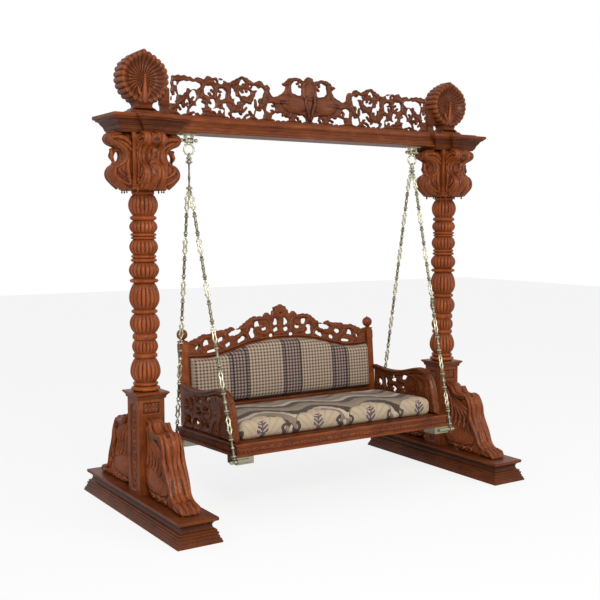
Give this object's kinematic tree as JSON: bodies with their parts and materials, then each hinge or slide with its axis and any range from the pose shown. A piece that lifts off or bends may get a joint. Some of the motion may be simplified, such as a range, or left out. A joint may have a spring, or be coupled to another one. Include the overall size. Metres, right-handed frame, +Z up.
{
  "type": "jhoola swing",
  "caption": "Carved wooden jhoola swing: turned columns and a pierced crest on the beam carry a cushioned bench on ornate chains.",
  "frame": {"origin": "floor level, under the middle of the beam", "axes": "+Z up, X along the beam, -Y the side that the seat faces"},
  "size_m": [2.194, 1.106, 2.1336],
  "materials": {
    "wood": "polished reddish teak",
    "brass": "pale brushed brass",
    "damask": "floral damask",
    "check": "houndstooth check"
  },
  "bodies": {
    "stand": {"beam": "wood", "crest_rail": "wood", "left_back_lion": "wood", "left_base": "wood", "left_beam_lug": "brass", "left_brackets": "wood", "left_capital": "wood", "left_column": "wood", "left_cornice": "wood", "left_crest": "wood", "left_cross_pin": "brass", "left_finial": "wood", "left_front_lion": "wood", "left_pedestal": "wood", "left_pedestal_cap": "wood", "lug_screws": "brass", "peacock_crest": "wood", "right_back_lion": "wood", "right_base": "wood", "right_beam_lug": "brass", "right_brackets": "wood", "right_capital": "wood", "right_column": "wood", "right_cornice": "wood", "right_crest": "wood", "right_cross_pin": "brass", "right_finial": "wood", "right_front_lion": "wood", "right_pedestal": "wood", "right_pedestal_cap": "wood"},
    "left_hanger": {"left_shackle": "brass"},
    "right_hanger": {"right_shackle": "brass"},
    "left_chain": {"left_fitting": "brass", "left_front_chain": "brass", "left_back_chain": "brass"},
    "right_chain": {"right_fitting": "brass", "right_front_chain": "brass", "right_back_chain": "brass"},
    "seat": {"front_apron": "wood", "back_apron": "wood", "left_apron": "wood", "right_apron": "wood", "seat_board": "wood", "corner_blocks": "brass", "corner_studs": "brass", "seat_cushion": "damask", "left_back_post": "wood", "right_back_post": "wood", "lower_back_rail": "wood", "back_board": "wood", "back_crest": "wood", "back_pad": "check", "left_arm_rest": "wood", "right_arm_rest": "wood", "left_arm_panel": "wood", "right_arm_panel": "wood"}
  },
  "joints": [
    {"name": "swing", "type": "hinge", "parent": "stand", "child": "left_hanger", "pos_m": [-0.675, 0, 1.751], "axis": [1, 0, 0], "range_deg": [-25, 25]},
    {"name": "sway", "type": "hinge", "parent": "left_hanger", "child": "left_chain", "pos_m": [-0.675, 0, 1.709], "axis": [0, 1, 0], "range_deg": [-4, 4]},
    {"name": "seat_level", "type": "hinge", "parent": "left_chain", "child": "seat", "pos_m": [-0.646, 0, 0.2763], "axis": [0, 1, 0], "range_deg": [-4.2, 4.2]},
    {"name": "right_swing", "type": "hinge", "parent": "stand", "child": "right_hanger", "pos_m": [0.675, 0, 1.751], "axis": [1, 0, 0], "range_deg": [-25, 25]},
    {"name": "right_sway", "type": "hinge", "parent": "right_hanger", "child": "right_chain", "pos_m": [0.675, 0, 1.709], "axis": [0, 1, 0], "range_deg": [-4, 4]}
  ],
  "couplings": [
    {"joint": "right_swing", "follows": "swing", "ratio": 1},
    {"joint": "right_sway", "follows": "sway", "ratio": 1},
    {"joint": "seat_level", "follows": "sway", "ratio": -1.0449}
  ]
}
